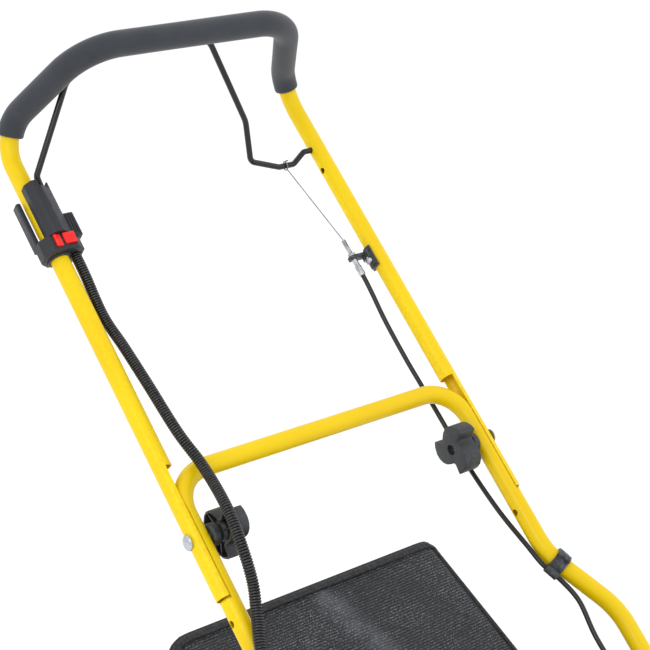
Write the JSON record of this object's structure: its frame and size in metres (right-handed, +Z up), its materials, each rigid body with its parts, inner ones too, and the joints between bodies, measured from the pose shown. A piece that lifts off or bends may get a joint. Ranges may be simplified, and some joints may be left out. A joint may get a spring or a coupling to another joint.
{
  "type": "walk behind leaf blower",
  "caption": "Walk-behind leaf blower with folding tube handle, foam grip, control bail, switch box, belt-driven blower housing on wheels and rear collection bag.",
  "frame": {"origin": "centre of the footprint on the floor, under the middle of the overall box", "axes": "+Z up, +Y back towards the operator, X across the machine"},
  "size_m": [0.5358, 1.1816, 1.026],
  "materials": {
    "yellow_paint": "gloss powder coat",
    "black_plastic": "moulded, fine grain",
    "foam_rubber": "matt closed-cell foam",
    "black_steel": "satin black paint",
    "red_plastic": "gloss moulded",
    "zinc_steel": "bright zinc plate",
    "steel": "plain turned steel",
    "tyre_rubber": "matt rubber",
    "rubber": "matt rubber",
    "bag_fabric": "woven ribbed mesh",
    "grey_plastic": "moulded",
    "motor_housing": "cast, satin"
  },
  "bodies": {
    "chassis": {"deck": "yellow_paint", "chute_floor": "black_steel", "side_plate_right": "yellow_paint", "side_plate_left": "yellow_paint", "front_skirt": "rubber", "bearing_right": "steel", "bearing_left": "steel", "drive_belt": "rubber", "belt_cover": "black_plastic", "motor_hood": "black_plastic", "motor": "motor_housing", "rear_axle": "zinc_steel", "front_axle": "zinc_steel", "handle_bracket_right": "black_steel", "handle_bracket_left": "black_steel", "foot_bolt_right": "zinc_steel", "foot_bolt_left": "zinc_steel", "conduit_lower": "black_plastic", "cable_outer_lower": "black_plastic", "clutch_wire": "steel"},
    "lower_handle": {"lower_handle": "yellow_paint", "cable_clip": "black_plastic", "conduit_clip": "black_plastic", "handle_bolt_right": "zinc_steel", "handle_bolt_left": "zinc_steel"},
    "upper_handle": {"upper_handle": "yellow_paint", "grip_foam": "foam_rubber", "cable_bracket": "black_plastic", "bracket_screw": "zinc_steel", "cable_adjuster": "zinc_steel", "adjuster_nut": "zinc_steel", "switch_housing": "black_plastic", "switch_rear_shell": "black_plastic", "cable_inner_wire": "steel", "cable_outer_upper": "black_plastic", "conduit_upper": "black_plastic"},
    "bail": {"bail_lever": "black_steel", "wire_hook": "steel"},
    "lock_button": {"lock_button": "red_plastic"},
    "start_button": {"start_button": "red_plastic"},
    "wing_knob_right": {"wing_knob_right": "black_plastic"},
    "wing_knob_left": {"wing_knob_left": "black_plastic"},
    "rotor": {"blower_rotor": "grey_plastic", "rotor_shaft": "steel", "rotor_pulley": "steel"},
    "motor_rotor": {"motor_pulley": "steel"},
    "idler_arm": {"idler_arm": "steel"},
    "idler_pulley": {"idler_pulley": "black_plastic"},
    "flap": {"discharge_flap": "black_plastic"},
    "bag": {"bag_fabric": "bag_fabric", "bag_frame": "black_steel", "bag_handle": "black_plastic"},
    "rear_wheel_right": {"rear_tyre_right": "tyre_rubber", "rear_rim_right": "black_plastic"},
    "rear_wheel_left": {"rear_tyre_left": "tyre_rubber", "rear_rim_left": "black_plastic"},
    "front_wheel_right": {"front_tyre_right": "tyre_rubber", "front_rim_right": "black_plastic"},
    "front_wheel_left": {"front_tyre_left": "tyre_rubber", "front_rim_left": "black_plastic"}
  },
  "joints": [
    {"name": "handle_base_fold", "type": "hinge", "parent": "chassis", "child": "lower_handle", "pos_m": [0, -0.13351, 0.27526], "axis": [1, 0, 0], "range_deg": [0, 49], "deforming": ["conduit_lower", "cable_outer_lower"]},
    {"name": "handle_fold", "type": "hinge", "parent": "lower_handle", "child": "upper_handle", "pos_m": [0, 0.18387, 0.54728], "axis": [1, 0, 0], "range_deg": [0, 115], "deforming": ["conduit_upper", "cable_outer_upper"]},
    {"name": "bail_pivot", "type": "hinge", "parent": "upper_handle", "child": "bail", "pos_m": [0, 0.51643, 0.83232], "axis": [1, 0, 0], "range_deg": [0, 12], "deforming": ["cable_inner_wire"]},
    {"name": "lock_button_press", "type": "slide", "parent": "upper_handle", "child": "lock_button", "axis": [0, 0.6508, -0.7593], "range_m": [0, 0.0025], "stiffness_N_per_m": 300},
    {"name": "start_button_press", "type": "slide", "parent": "upper_handle", "child": "start_button", "axis": [0, 0.6508, -0.7593], "range_m": [0, 0.0025], "stiffness_N_per_m": 300},
    {"name": "knob_right_turn", "type": "hinge", "parent": "lower_handle", "child": "wing_knob_right", "pos_m": [0.171, 0.18387, 0.54728], "axis": [1, 0, 0], "continuous": true},
    {"name": "knob_left_turn", "type": "hinge", "parent": "lower_handle", "child": "wing_knob_left", "pos_m": [-0.171, 0.18387, 0.54728], "axis": [1, 0, 0], "continuous": true},
    {"name": "rotor_spin", "type": "hinge", "parent": "chassis", "child": "rotor", "pos_m": [0, -0.36461, 0.15], "axis": [1, 0, 0], "continuous": true},
    {"name": "motor_spin", "type": "hinge", "parent": "chassis", "child": "motor_rotor", "pos_m": [0, -0.36461, 0.332], "axis": [1, 0, 0], "continuous": true},
    {"name": "idler_arm_swing", "type": "hinge", "parent": "chassis", "child": "idler_arm", "pos_m": [0, -0.28461, 0.216], "axis": [1, 0, 0], "range_deg": [0, 3.6], "deforming": ["clutch_wire"]},
    {"name": "idler_pulley_spin", "type": "hinge", "parent": "idler_arm", "child": "idler_pulley", "pos_m": [0, -0.30941, 0.25], "axis": [1, 0, 0], "continuous": true},
    {"name": "flap_hinge", "type": "hinge", "parent": "chassis", "child": "flap", "pos_m": [0, -0.16261, 0.254], "axis": [1, 0, 0], "range_deg": [0, 60]},
    {"name": "bag_lift", "type": "slide", "parent": "chassis", "child": "bag", "axis": [0, 0, 1], "range_m": [0, 0.012]},
    {"name": "rear_wheel_right_spin", "type": "hinge", "parent": "chassis", "child": "rear_wheel_right", "pos_m": [0.232, -0.19961, 0.095], "axis": [1, 0, 0], "continuous": true},
    {"name": "rear_wheel_left_spin", "type": "hinge", "parent": "chassis", "child": "rear_wheel_left", "pos_m": [-0.232, -0.19961, 0.095], "axis": [1, 0, 0], "continuous": true},
    {"name": "front_wheel_right_spin", "type": "hinge", "parent": "chassis", "child": "front_wheel_right", "pos_m": [0.232, -0.50961, 0.08], "axis": [1, 0, 0], "continuous": true},
    {"name": "front_wheel_left_spin", "type": "hinge", "parent": "chassis", "child": "front_wheel_left", "pos_m": [-0.232, -0.50961, 0.08], "axis": [1, 0, 0], "continuous": true}
  ],
  "couplings": [
    {"joint": "idler_arm_swing", "follows": "bail_pivot", "ratio": 0.29},
    {"joint": "motor_spin", "follows": "rotor_spin", "ratio": 2.25},
    {"joint": "idler_pulley_spin", "follows": "rotor_spin", "ratio": -3.4286}
  ]
}
